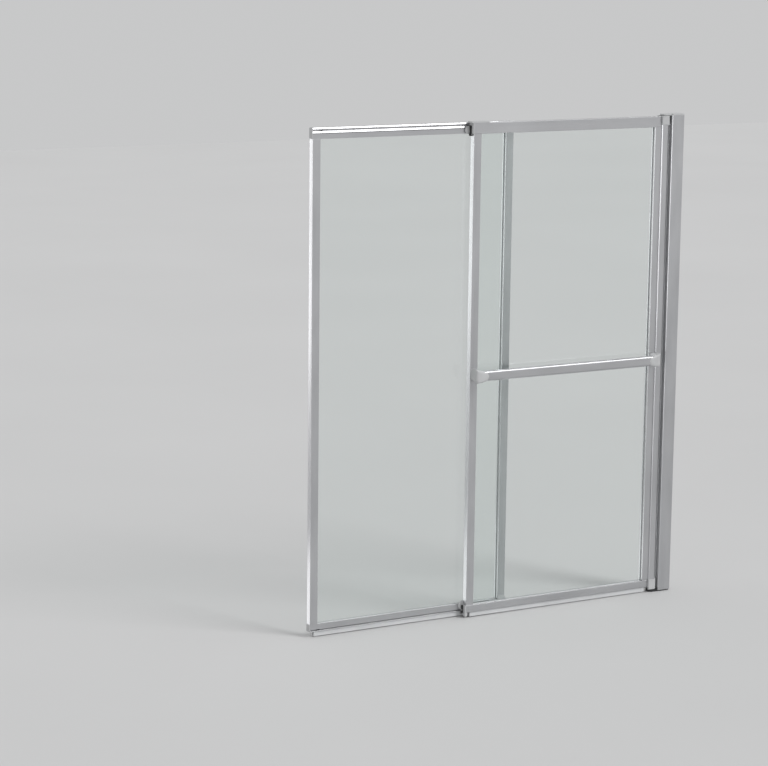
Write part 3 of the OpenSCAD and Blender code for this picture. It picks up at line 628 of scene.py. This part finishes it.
HEAD_TURN = np.linspace(0, 2 * np.pi, 48, endpoint=False)   # angles round a head
HEAD_RINGS = np.linspace(1, 0.06, 16)                       # parts of its radius
CROSS_HALF = 0.13           # half width of the recess's arms, as a part of the radius
CROSS_END = 0.62            # where the recess ends, and the length over which it fades out
CROSS_FADE = 0.12


def cross_head(radius, height, dome, recess):
    """A screw head with a cross recess on a polar grid: the top is height + dome(1 - q^2)
    for q = r / radius, less the recess times a smooth cross that is 1 near the lines
    x = 0 and y = 0, exp(-a^4) at a half widths from them, and fades out near its end."""
    q = HEAD_RINGS[:, None]
    x, y = radius * q * np.cos(HEAD_TURN), radius * q * np.sin(HEAD_TURN)
    arm = np.minimum(np.abs(x), np.abs(y)) / (CROSS_HALF * radius)
    cross = np.exp(-(arm**4)) * np.clip((CROSS_END - q) / CROSS_FADE, 0, 1)
    top = height + dome * (1 - q**2) - recess * cross
    return np.stack([x, y, top], axis=-1)


def screw(radius, recess, shank, shank_r, cone, height=0.0, dome=0.0):
    """A screw along z, head up from 0: rings (r cos t, r sin t, z) for its tip, its shank and
    the cone under its head, and then the cross head."""
    below = [(shank_r * 0.3, -shank), (shank_r, -shank + 1), (shank_r, -cone), (radius, 0)]
    x, y, level = np.cos(HEAD_TURN), np.sin(HEAD_TURN), 0 * HEAD_TURN
    side = [np.stack([r * x, r * y, z + level], axis=-1) for r, z in below]
    return loft(np.concatenate([side, cross_head(radius, height, dome, recess)]))


def corner_screws(node, name, place):
    """Countersunk screws through both rails into the screw ports, flush with the rails."""
    down = screw(radius=3.5, recess=0.9, shank=40, shank_r=1.9, cone=1.6)
    shells = []
    for x in (PORT[0], LEAF_W - PORT[0]):
        shells.append(placed(down, lambda u, v, w: place(x + u, PORT[1] + v, LEAF_TOP + w)))
        shells.append(placed(down, lambda u, v, w: place(x + u, PORT[1] + v, LEAF_FOOT - w)))
    built(node, name, shells)


JAMB_SCREWS_X = -13.0
JAMB_SCREWS_Y = 18.0        # rear face of the wall profile
JAMB_SCREWS_Z = (218.5, 751.25, 1204.0)


def jamb_screws():
    """Pan-head screws on the rear face of the wall profile."""
    pan = screw(radius=3.6, recess=1.1, shank=6.5, shank_r=1.9, cone=0.01, height=0.7, dome=1.3)
    shells = []
    for z in JAMB_SCREWS_Z:
        place = lambda u, v, w: (JAMB_SCREWS_X + u, JAMB_SCREWS_Y + w, z + v - BASE)
        shells.append(placed(pan, place))
    built("jamb_screws", "jamb_pan_screws", shells)


BRACKET_SCREWS = (-8, 8)    # from the bar's middle line


def towel_screws():
    """Countersunk screws from the track side of the stiles into the brackets."""
    head = screw(radius=2.9, recess=0.8, shank=22, shank_r=1.75, cone=1.4)
    shells = []
    for x in (PORT[0], LEAF_W - PORT[0]):
        for z in BRACKET_SCREWS:
            place = lambda u, v, w: in_front_leaf(x + u, -w, BAR["z"] + z + v)
            shells.append(placed(head, place))
    built("towel_bar_screws", "towel_bar_countersunk_screws", shells)


SEAL_TOP = 1.4              # from the rail down to where the lips start
SEAL_CLEAR = 2.5            # from the lips' ends down to the base
SEAL_LIPS = (4.65, 13.35)   # where the two lips start, from the track face
SEAL_INSET = 5.6            # from a screw port's middle to the strip's end


def drip_seal(node, name, place):
    """A barbed strip with two soft lips. Each lip's middle line swings out as it hangs, by
    1.1 sin(pi s / 2)^2 over s from 0 to 1, and its half width is 0.85 - 0.5 s."""
    s = np.linspace(0, 1, 12)
    z = -SEAL_TOP - s * (LEAF_FOOT - SEAL_CLEAR - SEAL_TOP)
    bow = 1.1 * np.sin(np.pi * s / 2) ** 2
    half = 0.85 - 0.5 * s
    left, right = SEAL_LIPS[0] - bow, SEAL_LIPS[1] + bow
    section = np.concatenate([
        np.array([[4.0, 0.0]]),
        np.stack([left - half, z], axis=-1),
        np.stack([left + half, z], axis=-1)[::-1],
        np.array([[6.6, -2.5], [11.4, -2.5]]),
        np.stack([right - half, z], axis=-1),
        np.stack([right + half, z], axis=-1)[::-1],
        np.array([[14.0, 0.0], [13.6, 0.0], [13.6, 1.5], [11.4, 1.5], [11.4, 0.0]]),
    ])
    start = PORT[0] + SEAL_INSET
    strip = carried([section], start, LEAF_W - start)
    built(node, name, [placed(strip, lambda y, h, x: place(x, y, LEAF_FOOT + h))])


# Corners of the gasket from the channel's floor and the track face, and their roundings
GASKET = [(0, 5), (10, 5), (11.2, 6.3), (11.2, 7), (1, 7), (1, 11), (11.2, 11), (11.2, 11.7),
          (10, 13), (0, 13)]
GASKET_R = [0.3, 0.6, 0.5, 0.1, 0.2, 0.2, 0.1, 0.5, 0.6, 0.3]
GASKET_LIP = 1.2            # how far it stands out of the channel


def side_gaskets(node, name, place):
    """The glazing gasket's U with sloping lips, carried up both stiles."""
    low, high = DAYLIGHT[0] + GASKET_LIP, DAYLIGHT[1] - GASKET_LIP
    strip = carried([rounded(GASKET, GASKET_R)], low, high, chamfer=0.05)
    left = lambda a, b, z: place(STILE_W - CHANNEL + a, b, z)
    right = lambda a, b, z: from_right(place)(STILE_W - CHANNEL + a, b, z)
    built(node, name, [placed(strip, left), placed(strip, right)])


def rail_gaskets(node, name, place):
    """The same U carried along both rails, between the stiles."""
    strip = carried([rounded(GASKET, GASKET_R)], STILE_W, LEAF_W - STILE_W, chamfer=0.05)
    low = lambda a, b, x: place(x, b, DAYLIGHT[0] - CHANNEL + a)
    high = lambda a, b, x: place(x, b, DAYLIGHT[1] + CHANNEL - a)
    built(node, name, [placed(strip, low), placed(strip, high)])


BUFFER_X = (-8.0, -2.0)     # free side at its foot, and the side on the rail
BUFFER_Z = (1379.0, 1408.5)
BUFFER_DEPTH = 8.0


def upper_buffer():
    """A rubber buffer that cups the guide's round nose: seen from the front its free side
    moves in by 1.6 s + 2.6 sin(pi s)^0.8 over its height, s from 0 to 1."""
    s = np.linspace(0, 1, 24)
    low, high = BUFFER_Z
    hollow = BUFFER_X[0] + 1.6 * s + 2.6 * np.sin(np.pi * s) ** 0.8
    free = np.stack([hollow, low + (high - low) * s], axis=-1)
    outline = np.concatenate([[(BUFFER_X[1], high), (BUFFER_X[1], low)], free[1:-1]])
    pad = carried([outline], 0.0, BUFFER_DEPTH, chamfer=0.7)
    place = lambda x, z, y: in_front_leaf(x, y, z)
    built("upper_buffer", "upper_rubber_buffer", [placed(pad, place)])


def bead(middle, half):
    """A rounded block: half times sign(c)|c|^0.6 for the two angles' cosines and sines."""
    def eased(value):
        return np.sign(value) * np.abs(value) ** 0.6

    across = np.linspace(-np.pi / 2, np.pi / 2, 18)[1:-1, None]
    turn = np.linspace(0, 2 * np.pi, 32, endpoint=False)
    x = eased(np.cos(across)) * eased(np.cos(turn))
    y = eased(np.cos(across)) * eased(np.sin(turn))
    z = eased(np.sin(across)) + 0 * turn
    return loft(np.stack([x, y, z], axis=-1) * half + middle)


def lower_buffer():
    """Two rubber knobs on a thin neck, on the free end of the bottom rail."""
    upper_knob = bead((-4.75, 4, 30.5), (1.75, 4, 6.5))
    neck = bead((-3.8, 6, 21.5), (0.8, 1.5, 5.0))
    lower_knob = bead((-4.75, 4, 15.8), (1.75, 4, 3.8))
    shells = [placed(shell, in_front_leaf) for shell in (upper_knob, neck, lower_knob)]
    built("lower_buffer", "lower_rubber_buffer", shells)


def leaf_pieces(side, place):
    """The screws, seal and gaskets that both leaves have."""
    corner_screws(f"{side}_corner_screws", f"{side}_countersunk_screws", place)
    drip_seal(f"{side}_drip_seal", f"{side}_two_lip_seal", place)
    side_gaskets(f"{side}_side_gaskets", f"{side}_stile_gaskets", place)
    rail_gaskets(f"{side}_rail_gaskets", f"{side}_rail_glazing_gaskets", place)


# Every softened node, and the width in mm by which its edges are rolled over
SOFTENED = {
    "jamb_profile": 0.5, "jamb_seal": 0.8, "upper_hinge_plate": 0.9, "lower_hinge_plate": 0.9,
    "upper_hinge_block": 0.9, "lower_hinge_block": 0.9,
    "front_free_stile": 0.25, "front_hinge_stile": 0.25, "rear_free_stile": 0.25,
    "rear_inner_stile": 0.25, "front_top_rail": 0.25, "front_bottom_rail": 0.25,
    "rear_top_rail": 0.25, "rear_bottom_rail": 0.25, "pivot_post": 0.3,
    "front_rail_caps": 0.6, "rear_end_caps": 0.6, "overlap_seal": 0.9,
    "front_upper_guide": 0.8, "front_lower_guide": 0.8,
    "rear_upper_guide": 0.7, "rear_lower_guide": 0.7,
    "front_upper_glide": 0.4, "front_lower_glide": 0.4,
    "rear_upper_glide": 0.4, "rear_lower_glide": 0.4,
    "front_track_stops": 0.5, "rear_track_stops": 0.5,
}

# ------------------------------------------------------------------ studio
FLOOR_TONES = ((0.60,) * 3, (0.62,) * 3)
FLOOR_HALF = 14.0
WORLD_TINT = (0.96, 0.965, 0.97, 1)
WORLD_LIGHT = 0.70          # strength as a light
WORLD_SEEN = 0.60           # strength to the eye, and in metal and glass
SUN_FROM = (0.42, -0.61, 0.67)
SUN_POWER = 1.35
SUN_SPREAD = 24.0           # degrees across

# Each lamp's place, the point that it faces, its width and height, and its watts
LAMPS = {
    "left_behind": ((-2.4, 3.2, 0.2), (-0.6, 0, 0), (1.8, 1.8), 22),
    "left": ((-4.6, -0.8, 0.4), (-0.6, 0, 0), (1.8, 2.2), 45),
    "left_front": ((-4.0, -3.2, 0.3), (-0.6, 0, 0), (1.8, 2.0), 42),
    "low_right": ((1.7, -3.7, 0.25), (-0.6, 0, 0.25), (3.0, 0.9), 2.6),
    "low_behind": ((-1.0, 0.45, -0.705), (-1.0, 0.45, 1), (2.0, 0.8), 7),
}


def add_floor():
    """A pale floor at the height of the base that the screen stands on."""
    low = CAD_BOX[0].z
    half = FLOOR_HALF
    corners = [(-half, -half, low), (half, -half, low), (half, half, low), (-half, half, low)]
    mesh = bpy.data.meshes.new("floor")
    mesh.from_pydata(corners, [], [(0, 1, 2, 3)])
    floor = bpy.data.objects.new("floor", mesh)
    bpy.context.scene.collection.objects.link(floor)
    shader = Shader("pale_floor", Roughness=0.75)
    cloud = shader.noise((0.7,) * 3)
    shader.drive("Base Color", shader.tint(cloud, *FLOOR_TONES))
    paint(floor, shader.material)


def metal_profiles():
    """A collection of every piece with the anodised or bare metal of the profiles."""
    profiles = bpy.data.collections.new("profiles")
    for piece in bpy.context.scene.collection.all_objects:
        if piece.type == "MESH" and piece.active_material.name.startswith(("anodised", "mill")):
            profiles.objects.link(piece)
    return profiles


def add_lamp(name, lit, place, target, size, power):
    """A soft box that lights the metal profiles, but neither the floor nor the panes, so that
    no pane turns white where it would mirror the box, and no moulding is washed out."""
    data = bpy.data.lights.new(name, "AREA")
    data.shape = "RECTANGLE"
    data.size, data.size_y = size
    data.energy = power
    lamp = bpy.data.objects.new(name, data)
    lamp.visible_camera = False
    lamp.visible_transmission = False
    bpy.context.scene.collection.objects.link(lamp)
    away = (Vector(place) - Vector(target)).to_track_quat("Z", "Y")
    lamp.matrix_world = Matrix.Translation(place) @ away.to_matrix().to_4x4()
    lamp.light_linking.receiver_collection = lit


def add_soft_sun():
    """Even daylight from the right and above, in front of the screen, from a broad disc."""
    data = bpy.data.lights.new("soft_sun", "SUN")
    data.energy = SUN_POWER
    data.angle = radians(SUN_SPREAD)
    lamp = bpy.data.objects.new("soft_sun", data)
    bpy.context.scene.collection.objects.link(lamp)
    lamp.matrix_world = Vector(SUN_FROM).to_track_quat("Z", "Y").to_matrix().to_4x4()


def add_world():
    """Even pale surroundings: one strength as a light, and one to the eye and in metal and
    glass, at which the background meets the far floor."""
    world = bpy.data.worlds.new("studio")
    bpy.context.scene.world = world
    world.use_nodes = True
    tree = world.node_tree
    back = tree.nodes["Background"]
    back.inputs["Color"].default_value = WORLD_TINT
    ray = tree.nodes.new("ShaderNodeLightPath")
    seen = ray.outputs["Is Camera Ray"]
    for kind in ("Is Glossy Ray", "Is Transmission Ray"):
        either = tree.nodes.new("ShaderNodeMath")
        either.operation = "MAXIMUM"
        tree.links.new(seen, either.inputs[0])
        tree.links.new(ray.outputs[kind], either.inputs[1])
        seen = either.outputs[0]
    strength = tree.nodes.new("ShaderNodeMapRange")
    strength.inputs["To Min"].default_value = WORLD_LIGHT
    strength.inputs["To Max"].default_value = WORLD_SEEN
    tree.links.new(seen, strength.inputs["Value"])
    tree.links.new(strength.outputs["Result"], back.inputs["Strength"])


add_camera()
add_floor()
add_world()
add_soft_sun()

for name, obj in NODES.items():
    paint(obj, finish_of(name))
for name, width in SOFTENED.items():
    softened(name, width)
towel_bar()
bracket("free_side_bracket", "free_side_shield", 1, False)
bracket("hinge_side_bracket", "hinge_side_shield", 4, True)
leaf_pieces("front", in_front_leaf)
leaf_pieces("rear", in_rear_leaf)
jamb_screws()
towel_screws()
upper_buffer()
lower_buffer()

lit = metal_profiles()
for name, settings in LAMPS.items():
    add_lamp(name, lit, *settings)

bpy.context.scene.view_settings.view_transform = "Standard"
